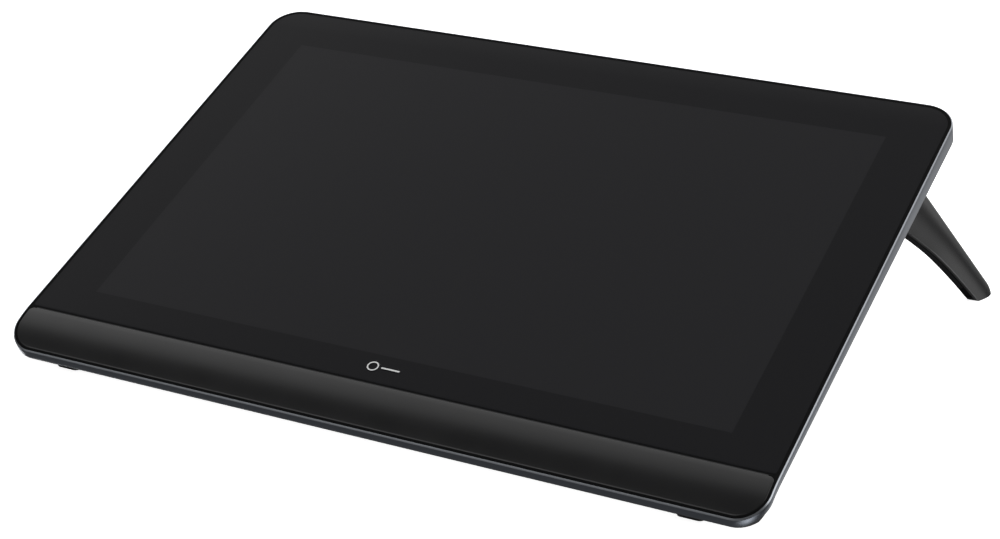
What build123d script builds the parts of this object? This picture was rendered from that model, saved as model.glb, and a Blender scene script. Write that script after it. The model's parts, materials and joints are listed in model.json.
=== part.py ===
"""Pen display tablet with two fold-out legs.

Everything is modelled flat, in the tablet's own plane: X to the right, Y towards the
raised rear edge, Z out of the glass, zero at the centre of the picture area on the glass.
At the end every piece is tilted and set down on the table, with Z up from the table.
"""
import math
import os

from build123d import *

# --- driving dimensions, mm -------------------------------------------------------------
TILT = 20.28                  # the legs raise the rear edge by this angle, degrees

HALF_WIDTH = 202.0            # outside of the metal frame
FRONT_Y = -151.7
REAR_Y = 138.3
FRONT_CORNER = 15.0
REAR_CORNER = 17.0

SEAM_Y = -126.4               # rear edge of the palm rest, where the top starts to curve down
RUN_OUT_Y = -160.0            # the curved profiles are drawn a little past the front
PALM_DEPTH = FRONT_Y - SEAM_Y
TOP_DROP = 5.2                # how far the top edge drops at the front
WALL_HEIGHT = 7.4             # frame wall at the centre; it is a wedge, deeper to the rear
WEDGE = 0.0247
WALL_DROP = 6.2               # how far the wall's lower edge drops at the front
COVER_HEIGHT = 4.5            # rear cover below the wall
COVER_DROP = 3.2

EDGE_ROUND = 0.5              # bright rounded edge round the top of the frame
BOTTOM_ROUND = 0.4
OPENING = 0.7                 # frame's top opening, in from the outside
WALL = 1.6
LEDGE_TOP = 1.6               # ledge that carries the glass, below the top face
LEDGE_THICK = 1.0
LEDGE_IN = 12.0
BAR_Y = (-129.0, -118.5)      # cross bar under the seam
GAP = 2.0                     # black gap round the glass and the palm rest

GLASS_THICK = 1.1
GLASS_FRONT_Y = -125.5
PICTURE = (344.68, 215.42)    # 16-inch picture area, 16:10
PRINT_THICK = 0.1
LCD = (350.0, 222.0, 1.6)
GUIDE_THICK = 1.2
TRAY = (354.0, 226.0, 0.4)
SENSOR_THICK = 1.0
SHIELD_THICK = 0.5

COVER_IN = 0.8                # rear cover's outside, in from the frame's
LIP_IN = 1.65
LIP_UP = 1.2
COVER_WALL = 1.7
COVER_RIM = 5.8
HUMP = (372.0, 46.0)          # the thick rear part that holds the legs
HUMP_Y = 113.3
HUMP_Z = -21.0
HUMP_TOP_Z = -9.5
HUMP_TAPER = 10.0

HINGE_X = 155.0
HINGE_Z = -18.0
LEG_OPEN = 120.4              # swing from folded to standing, degrees
LEG_LENGTH = 118.0            # before the end is cut level with the table
LEG_HALF = 3.0
LEG_ROOT = 7.0
LEG_FRONT_Y = 100.0
LEG_REAR_Y = 137.5
TIP_START = 112.0             # the tip's rear corner is rounded from here
TIP_ROUND = 8.0
LEG_CAP = 2.2                 # outer skin of the leg
LEG_LIP = 5.5                 # solid rear edge of the skin
CORE_IN = 0.5                 # inner half of the leg, in from the skin's edge
LEG_CLEAR = 0.8
FOOT_THICK = 1.6
PIN_R = 1.2
PIN_CLEAR = 0.05
BARREL_R = 2.4
BARREL_Y = (104.0, 130.0)
EAR_Y = ((101.0, 103.0), (131.0, 133.0))

PAD_X = 167.0                 # rubber pads under the front edge
PAD_SIZE = (13.0, 9.0)
PAD_CORNER = 2.5
PAD_FRONT_Y = -149.6
PAD_BOTTOM_Z = -14.1          # at the pad's front edge, where the table plane starts
PAD_TOP_Z = -10.2

KEY_Z = -5.4                  # keys and sockets are in the left wall
POWER_Y = 104.0
KEY_UP_Y = 88.0
KEY_DOWN_Y = 75.0
KEY_TRAVEL = 0.5
KEY_PROUD = 0.4
KEY_CLEAR = 0.35
POWER_FACE = (14.0, 2.6)
STEP_FACE = (8.0, 2.6)
SOCKETS_Y = (58.0, 40.0)
SOCKET = (9.0, 3.2)

TALL = 40.0


# --- profiles and outlines --------------------------------------------------------------
def wall_bottom(y):
    """Height of the frame wall's lower edge before the drop at the front."""
    return -WALL_HEIGHT - WEDGE * y


def profile(height, slope, drop):
    """Points of a side profile: straight from the rear to the seam, then a parabola."""
    reach = (SEAM_Y - RUN_OUT_Y) / -PALM_DEPTH
    middle_y = (SEAM_Y + RUN_OUT_Y) / 2
    rear = (REAR_Y + 10, height + slope * (REAR_Y + 10))
    seam = (SEAM_Y, height + slope * SEAM_Y)
    middle = (middle_y, height + slope * middle_y)
    front = (RUN_OUT_Y, height + slope * RUN_OUT_Y - drop * reach**2)
    return rear, seam, middle, front


def top_profile(down=0.0):
    """The top face, or a surface the given distance below it."""
    return profile(-down, 0.0, TOP_DROP)


def wall_profile(up=0.0):
    """The frame wall's lower edge, or a line the given distance above it."""
    return profile(up - WALL_HEIGHT, -WEDGE, WALL_DROP)


def cover_profile(up=0.0):
    """The rear cover's underside, or a surface the given distance above it."""
    return profile(up - WALL_HEIGHT - COVER_HEIGHT, -WEDGE, COVER_DROP)


def band(upper, lower):
    """Solid between two profiles, across the whole width."""
    edges = [Line(upper[0], upper[1]), Bezier(upper[1], upper[2], upper[3])]
    edges += [Line(upper[3], lower[3]), Bezier(lower[3], lower[2], lower[1])]
    edges += [Line(lower[1], lower[0]), Line(lower[0], upper[0])]
    half = HALF_WIDTH + 10
    return Pos(-half, 0, 0) * extrude(Plane.YZ * make_face(edges), amount=2 * half, dir=(1, 0, 0))


def level(height):
    """A flat profile, to close a band above or below everything."""
    return profile(height, 0.0, 0.0)


ABOVE = level(TALL)
BELOW = level(-TALL)


def rounded(half_x, front_y, rear_y, front_r, rear_r):
    """Rectangle with its own corner radius at the front and at the rear."""
    face = Pos(0, (front_y + rear_y) / 2) * Rectangle(2 * half_x, rear_y - front_y)
    face = fillet(face.vertices().group_by(Axis.Y)[0], front_r)
    return fillet(face.vertices().group_by(Axis.Y)[-1], rear_r)


def outline(inset):
    """The tablet's outline, moved in from the outside."""
    return rounded(
        HALF_WIDTH - inset,
        FRONT_Y + inset,
        REAR_Y - inset,
        FRONT_CORNER - inset,
        REAR_CORNER - inset,
    )


def column(face):
    """A tall solid on an outline, to be cut by bands."""
    return Pos(0, 0, -TALL) * extrude(face, amount=2 * TALL)


def block(x, y, z):
    """Box given by its lower and upper limits on each axis."""
    size = (x[1] - x[0], y[1] - y[0], z[1] - z[0])
    return Pos(sum(x) / 2, sum(y) / 2, sum(z) / 2) * Box(*size)


def mirrored(shape):
    """The same piece on the other side of the tablet."""
    return mirror(shape, Plane.YZ)


def both_sides(shapes):
    """The given pieces together with their mirror images."""
    return list(shapes) + [mirrored(shape) for shape in shapes]


# --- frame, glass and palm rest ---------------------------------------------------------
def glass_outline(inset=0.0):
    """Outline of the cover glass."""
    edge = OPENING + GAP + inset
    front_r = max(1.5 - inset, 0.4)
    return rounded(HALF_WIDTH - edge, GLASS_FRONT_Y + inset, REAR_Y - edge, front_r, REAR_CORNER - edge)


def palm_outline():
    """Outline of the palm rest."""
    edge = OPENING + GAP
    return rounded(HALF_WIDTH - edge, FRONT_Y + edge, SEAM_Y, FRONT_CORNER - edge, 3.5)


def outside_edges(solid, top):
    """Edges that run round the top or the bottom of a solid, without the seam line."""
    faces = [face for face in solid.faces() if face.normal_at().Z * (1 if top else -1) > 0.5]
    edges = [edge for face in faces for edge in face.edges()]
    across = [edge for edge in edges if abs((edge @ 0).Y - SEAM_Y) + abs((edge @ 1).Y - SEAM_Y) < 0.01]
    return ShapeList(edge for edge in edges if edge not in across)


def make_frame():
    """Aluminium frame: wedge wall, bevelled top, ledge for the glass and a cross bar."""
    frame = column(outline(0)) & band(top_profile(), wall_profile())
    frame = fillet(outside_edges(frame, top=True), EDGE_ROUND)
    frame = fillet(outside_edges(frame, top=False), BOTTOM_ROUND)
    frame -= column(outline(OPENING)) & band(ABOVE, top_profile(LEDGE_TOP))
    frame -= column(outline(WALL)) & band(top_profile(LEDGE_TOP + LEDGE_THICK), BELOW)
    window = rounded(HALF_WIDTH - LEDGE_IN, FRONT_Y + LEDGE_IN, REAR_Y - LEDGE_IN, 4, 5)
    frame -= column(window)
    reach = HALF_WIDTH - WALL
    bar = block((-reach, reach), BAR_Y, (-LEDGE_TOP - LEDGE_THICK, -LEDGE_TOP))
    bar &= band(top_profile(LEDGE_TOP), BELOW)
    frame += bar
    return frame - left_wall_cuts()


def left_wall_cuts():
    """Openings in the left wall for the keys and the two sockets."""
    through = (-HALF_WIDTH - 1, -HALF_WIDTH + WALL + 1)
    around = 2 * KEY_CLEAR
    cuts = [key_prism(y, (long + around, high + around), through) for y, (long, high) in keys()]
    cuts += [key_prism(y, SOCKET, through) for y in SOCKETS_Y]
    return Compound(cuts)


def keys():
    """Place along the wall and face size of each key: power, brighter, dimmer."""
    return ((POWER_Y, POWER_FACE), (KEY_UP_Y, STEP_FACE), (KEY_DOWN_Y, STEP_FACE))


def key_prism(y, size, x):
    """Prism with round ends that runs across the left wall between two X places."""
    face = Plane.YZ * Pos(y, KEY_Z) * SlotOverall(size[0], size[1])
    return Pos(x[0], 0, 0) * extrude(face, amount=x[1] - x[0], dir=(1, 0, 0))


def make_glass():
    """Etched cover glass, with its edge broken."""
    glass = Pos(0, 0, -GLASS_THICK) * extrude(glass_outline(), amount=GLASS_THICK)
    return chamfer(glass.faces().sort_by(Axis.Z)[-1].edges(), 0.25)


def make_border_print():
    """Black print on the back of the glass, round the picture."""
    print_face = glass_outline(0.4) - Rectangle(*PICTURE)
    return Pos(0, 0, -GLASS_THICK - PRINT_THICK) * extrude(print_face, amount=PRINT_THICK)


def make_glass_tape():
    """Foam tape that holds the glass on the ledge."""
    under_print = GLASS_THICK + PRINT_THICK
    face = glass_outline(0.6) - rounded(193.0, GLASS_FRONT_Y + 5.2, 129.3, 2, 8)
    return Pos(0, 0, -LEDGE_TOP) * extrude(face, amount=LEDGE_TOP - under_print)


def make_edge_gasket():
    """Black gasket that fills the gap round the glass and the palm rest."""
    gasket = column(outline(OPENING)) & band(top_profile(0.5), top_profile(LEDGE_TOP))
    return gasket - column(glass_outline()) - column(palm_outline())


def make_palm_rest():
    """Curved palm rest along the front edge."""
    rest = column(palm_outline()) & band(top_profile(), top_profile(LEDGE_TOP))
    return fillet(outside_edges_of_rest(rest), 0.4)


def outside_edges_of_rest(rest):
    """The palm rest's top edge all round, the seam side included."""
    top = [face for face in rest.faces() if face.normal_at().Z > 0.5]
    return ShapeList(edge for face in top for edge in face.edges())


def make_front_mark():
    """Small plain mark on the glass, below the picture: a ring and a bar."""
    ring = Circle(3.0) - Circle(2.3)
    bar = Pos(9.5, 0) * SlotOverall(10.0, 0.9)
    return [Pos(-6, -116, 0) * extrude(face, amount=0.06) for face in (ring, bar)]


# --- display stack ----------------------------------------------------------------------
def plate(size, top, thick):
    """Flat plate centred on the picture area."""
    return Pos(0, 0, top - thick) * extrude(Rectangle(*size), amount=thick)


LCD_TOP = -GLASS_THICK - PRINT_THICK
GUIDE_TOP = LCD_TOP - LCD[2]
TRAY_TOP = GUIDE_TOP - GUIDE_THICK
SENSOR_TOP = TRAY_TOP - TRAY[2] - 0.1
SHIELD_TOP = SENSOR_TOP - SENSOR_THICK - 0.1


def make_lcd():
    """Liquid crystal cell, with the driver ledge along the front."""
    return plate(LCD[:2], LCD_TOP, LCD[2])


def make_light_guide():
    """Clear light guide behind the cell."""
    return plate((346.0, 216.0), GUIDE_TOP, GUIDE_THICK)


def make_light_strip():
    """Row of small lamps along the front edge of the light guide."""
    board = block((-172, 172), (-111.6, -110.2), (TRAY_TOP, GUIDE_TOP - 0.05))
    lamps = []
    for index in range(30):
        x = -165.3 + index * 11.4
        lamps.append(block((x - 1.5, x + 1.5), (-110.2, -109.3), (TRAY_TOP + 0.2, GUIDE_TOP - 0.2)))
    return Compound([board + lamps]) - plate((346.0, 216.0), GUIDE_TOP, GUIDE_THICK)


def make_tray():
    """Pressed steel tray that holds the light guide."""
    tray = Pos(0, 0, TRAY_TOP - TRAY[2]) * extrude(Rectangle(TRAY[0], TRAY[1]), amount=TRAY[2])
    rim = Rectangle(TRAY[0], TRAY[1]) - Rectangle(TRAY[0] - 1.0, TRAY[1] - 1.0)
    return tray + Pos(0, 0, TRAY_TOP) * extrude(rim, amount=GUIDE_THICK + 1.0)


def make_sensor_board():
    """Board with the coils that find the pen."""
    return plate((362.0, 232.0), SENSOR_TOP, SENSOR_THICK)


def make_shield():
    """Steel shield behind the sensor board, with a slot for each flat cable."""
    shield = plate((366.0, 236.0), SHIELD_TOP, SHIELD_THICK)
    slots = [block((x, x + 34), (60, 63), (-TALL, 0)) for x in (-60, 20)]
    return shield - slots


# --- boards and cables ------------------------------------------------------------------
BOARD_TOP = SHIELD_TOP - SHIELD_THICK - 1.4


def make_main_board():
    """Main circuit board, in the space ahead of the leg hump."""
    board = Pos(0, 92, BOARD_TOP - 1.2) * extrude(RectangleRounded(78, 52, 3), amount=1.2)
    holes = [Pos(x, y, BOARD_TOP - 1.2) * Cylinder(1.3, 6) for x in (-34, 34) for y in (71, 113)]
    return board - holes


def make_board_chips():
    """Packages on the main board."""
    chips = []
    for x, y, wide, deep, tall in (
        (-12, 92, 16, 16, 1.4),
        (14, 100, 12, 10, 1.2),
        (14, 84, 9, 9, 1.1),
        (-28, 104, 7, 5, 1.5),
        (28, 96, 5, 12, 2.0),
        (-28, 82, 6, 8, 1.8),
    ):
        top = BOARD_TOP - 1.2
        across = (x - wide / 2, x + wide / 2)
        chips.append(block(across, (y - deep / 2, y + deep / 2), (top - tall, top)))
    return chips


def make_flat_cable(x):
    """Flat cable from the display stack, through the shield, to the main board."""
    top = SHIELD_TOP - SHIELD_THICK
    run = block((x, x + 30), (61.4, 68), (top - 0.5, top - 0.2))
    rise = block((x, x + 30), (61.4, 61.7), (top - 0.5, SENSOR_TOP - SENSOR_THICK))
    end = block((x, x + 30), (67.7, 68), (BOARD_TOP, top - 0.2))
    foot = block((x, x + 30), (67.7, 74), (BOARD_TOP, BOARD_TOP + 0.3))
    return run + rise + end + foot


def make_socket_board():
    """Small board behind the left wall, with the sockets and the key switches."""
    return block((-195.5, -183.0), (32, 113), (KEY_Z - 2.9, KEY_Z - 1.9))


def make_sockets():
    """Metal shells of the two sockets."""
    shells = []
    for y in SOCKETS_Y:
        x = (-HALF_WIDTH + 0.5, -192.0)
        shell = key_prism(y, (SOCKET[0] - 0.1, SOCKET[1] - 0.1), x)
        shell -= key_prism(y, (SOCKET[0] - 0.8, SOCKET[1] - 0.8), (x[0] - 1, x[1] - 1.0))
        tongue = block((x[0] + 1.0, x[1] - 0.8), (y - 3.2, y + 3.2), (KEY_Z - 0.35, KEY_Z + 0.35))
        shells.append(shell + tongue)
    return shells


def make_key_switches():
    """Small push switches, one behind each key."""
    return [block((-196.3, -192.8), (y - 3, y + 3), (KEY_Z - 1.9, KEY_Z + 1.6)) for y, _ in keys()]


def make_key(y, size):
    """One key: the face in the wall, and a flange behind it that keeps it in."""
    face = key_prism(y, size, (-HALF_WIDTH - KEY_PROUD, -HALF_WIDTH + WALL + 0.9))
    face = fillet(face.faces().sort_by(Axis.X)[0].edges(), 0.3)
    flange_x = (-HALF_WIDTH + WALL + 0.4, -HALF_WIDTH + WALL + 1.4)
    flange = block(flange_x, (y - size[0] / 2 - 1.2, y + size[0] / 2 + 1.2), (KEY_Z - 1.8, KEY_Z + 1.8))
    stem = block((flange_x[1], -197.2), (y - 1.2, y + 1.2), (KEY_Z - 0.9, KEY_Z + 0.9))
    return face + flange + stem


# --- rear cover -------------------------------------------------------------------------
def hump(inset):
    """The thick rear part as a tapered block."""
    size = (HUMP[0] - 2 * inset, HUMP[1] - 2 * inset)
    face = RectangleRounded(size[0], size[1], 14 - inset)
    depth = HUMP_TOP_Z - HUMP_Z - inset
    return Pos(0, HUMP_Y, HUMP_TOP_Z) * extrude(face, amount=depth, dir=(0, 0, -1), taper=HUMP_TAPER)


def leg_edge(clear=0.0):
    """The leg's front edge in plan, from the wide root to the narrow tip."""
    points = ((24, LEG_FRONT_Y), (42, 102.4), (57, 108.0), (74, 114.0), (90, 117.4), (LEG_LENGTH, 121.0))
    return [(HINGE_X - along, y - clear) for along, y in points]


def leg_plan(start, clear=0.0):
    """The leg in plan when it is folded, from a distance along it to its end."""
    edge = leg_edge(clear)
    end = (edge[-1][0] - max(clear, 0.0), edge[-1][1])
    corner = (HINGE_X - start + clear, LEG_FRONT_Y - clear)
    rear = LEG_REAR_Y + clear
    lines = [Line(corner, edge[0]), Spline(*edge, tangents=[(-1, 0), (-1, 0.1)])]
    if clear > 0:
        lines.append(Line(edge[-1], end))
    if clear > 0:
        around = (end, (end[0], rear), (corner[0], rear), corner)
        return make_face(lines + [Line(*ends) for ends in zip(around, around[1:])])
    turn = HINGE_X - TIP_START
    middle = rear - TIP_ROUND
    diagonal = TIP_ROUND * math.sqrt(0.5)
    inner = (turn - TIP_ROUND, middle)
    lines += [Line(end, (end[0], middle)), Line((end[0], middle), inner)]
    lines.append(ThreePointArc(inner, (turn - diagonal, middle + diagonal), (turn, rear)))
    lines += [Line((turn, rear), (corner[0], rear)), Line((corner[0], rear), corner)]
    return make_face(lines)


def leg_pocket(wall=0.0):
    """Space that the folded leg lies in, open below and to the rear."""
    clear = LEG_CLEAR + wall
    plan = leg_plan(-7.0, clear)
    top = HINGE_Z + LEG_HALF + 0.6 + wall
    pocket = Pos(0, 0, -TALL) * extrude(plan, amount=TALL + top)
    if not wall:
        pocket += block((44, HINGE_X + 7), (LEG_REAR_Y - 12, REAR_Y + 5), (-TALL, top))
    return pocket


def side_bevel():
    """What the bevel takes off the cover's lower side edge, all along the side."""
    top = wall_profile(-0.9)
    path = Wire([Line(*[(0, y, z) for y, z in top[:2]]), Bezier(*[(0, y, z) for y, z in top[1:]])])
    corner = Plane(origin=(0, *top[0]), x_dir=(1, 0, 0), z_dir=path % 0)
    outer = HALF_WIDTH - COVER_IN
    points = [(outer + 2, 1.2), (outer + 2, 14), (outer - 12.2, 7.32), (outer, 0)]
    down = -1 if corner.y_dir.Z > 0 else 1
    face = corner * make_face(Polyline([(x, down * z) for x, z in points], close=True))
    return sweep(face, path=path)


def cover_screw_places():
    """Where the rear cover is screwed to the frame."""
    sides = [(x, y) for x in (-193.2, 193.2) for y in (-100, 10, 123)]
    front = [(x, -123.6) for x in (-110, 0, 110)]
    return sides + front


def make_rear_cover():
    """Moulded rear cover: wedge tray, leg hump with two pockets, vents and screw holes."""
    cover = column(outline(COVER_IN)) & band(wall_profile(), cover_profile())
    bevel = side_bevel()
    cover -= bevel
    cover -= mirrored(bevel)
    cover += column(outline(LIP_IN)) & band(wall_profile(LIP_UP), wall_profile(0))
    cover += hump(0.0) & band(wall_profile(LIP_UP), BELOW)
    inside = column(outline(COVER_RIM)) & band(ABOVE, cover_profile(COVER_WALL))
    inside += hump(COVER_WALL)
    cover -= inside
    walls = both_sides([leg_pocket(1.5)])
    outside = hump(0.0)
    for wall in walls:
        cover += wall & outside & band(level(-11.0), BELOW)
    cover -= both_sides([leg_pocket()])
    vents = [block((x - 0.9, x + 0.9), (20, 38), (-TALL, 0)) for x in range(-60, 61, 6)]
    cover -= vents
    for x, y in cover_screw_places():
        surface = wall_bottom(y) - COVER_HEIGHT
        cover -= Pos(x, y, surface) * Cylinder(1.25, 12)
        cover -= Pos(x, y, surface) * Cylinder(2.3, 1.6)
    for pad in make_front_pads():
        cover -= pad
    cover -= Pos(0, HUMP_Y + 2, HUMP_Z) * extrude(RectangleRounded(60.4, 16.4, 4.2), amount=0.6)
    return cover


def make_standoffs():
    """Brass posts between the frame's ledge and the rear cover."""
    limits = band(top_profile(LEDGE_TOP + LEDGE_THICK), cover_profile(COVER_WALL))
    posts = []
    for x, y in cover_screw_places():
        post = Pos(x, y) * (column(Circle(2.6)) - column(Circle(0.9)))
        posts.append(post & limits)
    return posts


def screw(x, y, surface, length, thread_r=0.85, head_r=2.1):
    """Small countersunk screw with a cross recess, head down."""
    head = Pos(x, y, surface + 0.45) * Cylinder(head_r, 0.7)
    shank = Pos(x, y, surface + 0.8 + length / 2) * Cylinder(thread_r, length)
    cross = [Pos(x, y, surface + 0.1) * Box(*size, 0.6) for size in ((2.4, 0.5), (0.5, 2.4))]
    return head + shank - cross


def make_cover_screws():
    """Screws of the rear cover, set just below its surface."""
    return [screw(x, y, wall_bottom(y) - COVER_HEIGHT, 3.2) for x, y in cover_screw_places()]


def make_front_pads():
    """Rubber pads under the front edge."""
    center_y = PAD_FRONT_Y + PAD_SIZE[1] / 2
    pad = extrude(RectangleRounded(*PAD_SIZE, PAD_CORNER), amount=TALL + PAD_TOP_Z)
    pad = level_with_table(Pos(PAD_X, center_y, -TALL) * pad)
    return both_sides([pad])


def make_rear_pad():
    """Rubber pad on the hump, for use lying flat."""
    pad = extrude(RectangleRounded(60, 16, 4), amount=1.7)
    pad = fillet(pad.faces().sort_by(Axis.Z)[0].edges(), 0.5)
    return Pos(0, HUMP_Y + 2, HUMP_Z - 1.1) * pad


# --- legs -------------------------------------------------------------------------------
HINGE_AXIS = Axis((HINGE_X, 0, HINGE_Z), (0, -1, 0))
CONTACT = (PAD_FRONT_Y, PAD_BOTTOM_Z)


def table_plane(above=0.0):
    """The table in the tablet's own frame, or a plane the given distance above it."""
    normal = Vector(0, math.sin(math.radians(TILT)), math.cos(math.radians(TILT)))
    return Plane(origin=Vector(0, *CONTACT) + normal * above, x_dir=(1, 0, 0), z_dir=normal)


def level_with_table(shape, above=0.0):
    """Cut a piece off where it would reach below the table."""
    under = table_plane(above) * Pos(0, 0, -100) * Box(900, 900, 200)
    return shape - under


def standing(shape):
    """Swing a piece from the folded place to the standing one."""
    return shape.rotate(HINGE_AXIS, LEG_OPEN)


def leg_section_limit():
    """Long solid with the leg's section: crisp at the front, rounded over to the rear."""
    low = HINGE_Z - LEG_HALF
    high = HINGE_Z + LEG_HALF
    rear = LEG_REAR_Y
    points = [(90, low), (118, low)]
    edges = [Line(*points), Bezier(points[1], (rear - 3, low), (rear, low + 3.2), (rear, high - 0.8))]
    edges += [Line((rear, high - 0.8), (rear - 0.8, high)), Line((rear - 0.8, high), (90, high))]
    edges += [Line((90, high), points[0])]
    face = Plane.YZ * make_face(edges)
    return extrude(face, amount=HINGE_X, dir=(1, 0, 0))


def folded_leg():
    """Whole leg body without its hinge, folded."""
    plan = Pos(0, 0, HINGE_Z - LEG_HALF) * extrude(leg_plan(LEG_ROOT), amount=2 * LEG_HALF)
    return plan & leg_section_limit()


def make_leg_shell():
    """Outer skin of the leg, standing, its end cut level just above the table."""
    low = HINGE_Z - LEG_HALF
    shell = folded_leg()
    shell -= block((0, HINGE_X), (LEG_FRONT_Y - 5, LEG_REAR_Y - LEG_LIP), (low + LEG_CAP, low + 10))
    shell = level_with_table(standing(shell), FOOT_THICK)
    return shell


def make_leg_core():
    """Inner half of the leg with the hinge barrel, set in a little from the skin."""
    low = HINGE_Z - LEG_HALF + LEG_CAP
    core = Pos(0, 0, low) * extrude(leg_plan(LEG_ROOT, -CORE_IN), amount=HINGE_Z + LEG_HALF - low)
    core &= block((0, HINGE_X), (90, LEG_REAR_Y - LEG_LIP), (low, 0))
    tongue = block((HINGE_X - LEG_ROOT - 4, HINGE_X), BARREL_Y, (low, HINGE_Z + BARREL_R))
    center = Pos(HINGE_X, sum(BARREL_Y) / 2, HINGE_Z)
    barrel = center * Rot(90, 0, 0) * Cylinder(BARREL_R, BARREL_Y[1] - BARREL_Y[0])
    core += tongue + barrel
    core -= Pos(HINGE_X, 116, HINGE_Z) * Rot(90, 0, 0) * Cylinder(PIN_R + PIN_CLEAR, 60)
    return level_with_table(standing(core), FOOT_THICK)


def make_leg_foot():
    """Rubber foot under the end of the leg."""
    whole = standing(folded_leg())
    return level_with_table(whole) - level_with_table(whole, FOOT_THICK)


def make_hinge_bracket():
    """Steel bracket in the pocket: base plate, two ears and the stop for the open leg."""
    top = HINGE_Z + LEG_HALF + 0.6
    bracket = block((149.2, 161.6), (EAR_Y[0][0], EAR_Y[1][1]), (top - 0.8, top))
    for ear in EAR_Y:
        lobe = Pos(HINGE_X, sum(ear) / 2, HINGE_Z) * Rot(90, 0, 0) * Cylinder(2.8, ear[1] - ear[0])
        web = block((HINGE_X - 2.8, HINGE_X + 2.8), ear, (HINGE_Z, top))
        bracket += lobe + web
    bracket += block((160.6, 161.6), BARREL_Y, (HINGE_Z - 2.0, top))
    return bracket - Pos(HINGE_X, 117, HINGE_Z) * Rot(90, 0, 0) * Cylinder(PIN_R, 60)


def make_hinge_pin():
    """Steel pin, pressed in the bracket's ears."""
    length = EAR_Y[1][1] - EAR_Y[0][0] + 0.8
    return Pos(HINGE_X, 117, HINGE_Z) * Rot(90, 0, 0) * Cylinder(PIN_R, length)


def make_hinge_washers():
    """Spring washers beside the barrel, which give the hinge its drag."""
    ring = Cylinder(2.2, 0.5) - Cylinder(PIN_R, 2)
    return [Pos(HINGE_X, y, HINGE_Z) * Rot(90, 0, 0) * ring for y in (103.25, 130.75)]


# --- placing and writing ----------------------------------------------------------------
def all_nodes():
    """Every piece by name, in the tablet's own frame."""
    nodes = {
        "frame_ring": make_frame(),
        "cover_glass": make_glass(),
        "border_print": make_border_print(),
        "glass_tape": make_glass_tape(),
        "edge_gasket": make_edge_gasket(),
        "palm_rest": make_palm_rest(),
        "front_mark": make_front_mark(),
        "lcd_panel": make_lcd(),
        "light_guide": make_light_guide(),
        "light_strip": make_light_strip(),
        "backlight_tray": make_tray(),
        "pen_sensor_board": make_sensor_board(),
        "shield_plate": make_shield(),
        "main_board": make_main_board(),
        "board_chips": make_board_chips(),
        "display_cable": make_flat_cable(-58),
        "sensor_cable": make_flat_cable(22),
        "socket_board": make_socket_board(),
        "usb_sockets": make_sockets(),
        "key_switches": make_key_switches(),
        "rear_cover": make_rear_cover(),
        "standoffs": make_standoffs(),
        "cover_screws": make_cover_screws(),
        "front_pads": make_front_pads(),
        "rear_pad": make_rear_pad(),
    }
    names = ("power_button", "brighter_key", "dimmer_key")
    for name, (y, size) in zip(names, keys()):
        nodes[name] = make_key(y, size)
    leg_pieces = {
        "leg_shell": make_leg_shell(),
        "leg_core": make_leg_core(),
        "leg_foot": make_leg_foot(),
        "hinge_bracket": make_hinge_bracket(),
        "hinge_pin": make_hinge_pin(),
        "hinge_washers": make_hinge_washers(),
    }
    for name, piece in leg_pieces.items():
        pieces = piece if isinstance(piece, list) else [piece]
        nodes["right_" + name] = piece
        nodes["left_" + name] = [mirrored(one) for one in pieces]
    return nodes


def solids_of(piece):
    """The separate solids of a piece or of a list of pieces."""
    pieces = piece if isinstance(piece, list) else [piece]
    return [solid for one in pieces for solid in one.solids()]


def main():
    """Tilt every piece, set it on the table and write one file for each."""
    os.makedirs("parts", exist_ok=True)
    tilted = {}
    for name, piece in all_nodes().items():
        tilted[name] = [solid.rotate(Axis.X, TILT) for solid in solids_of(piece)]
    boxes = [solid.bounding_box() for solids in tilted.values() for solid in solids]
    middle_y = (min(box.min.Y for box in boxes) + max(box.max.Y for box in boxes)) / 2
    tilt = math.radians(TILT)
    table_z = CONTACT[0] * math.sin(tilt) + CONTACT[1] * math.cos(tilt)
    for name, solids in tilted.items():
        placed = [solid.moved(Location((0, -middle_y, -table_z))) for solid in solids]
        shape = placed[0] if len(placed) == 1 else Compound(children=placed)
        shape.label = name
        export_step(shape, os.path.join("parts", name + ".step"))
    print("moved by", round(-middle_y, 4), round(-table_z, 4))


main()
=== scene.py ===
"""Looks of the pen display tablet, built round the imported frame.

The tablet's own plane is used for all shapes: X to the right, Y towards the raised rear
edge, Z out of the glass, zero at the centre of the picture area. Lengths are metres and
are written as millimetres times MM.
"""

import json
import logging
import math
from dataclasses import dataclass, field
from enum import Enum
from typing import Callable, Iterable, Sequence

import bmesh
import bpy
from bpy.types import Material, Node, NodeSocket, NodeTree, Object
from mathutils import Matrix, Vector


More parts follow.
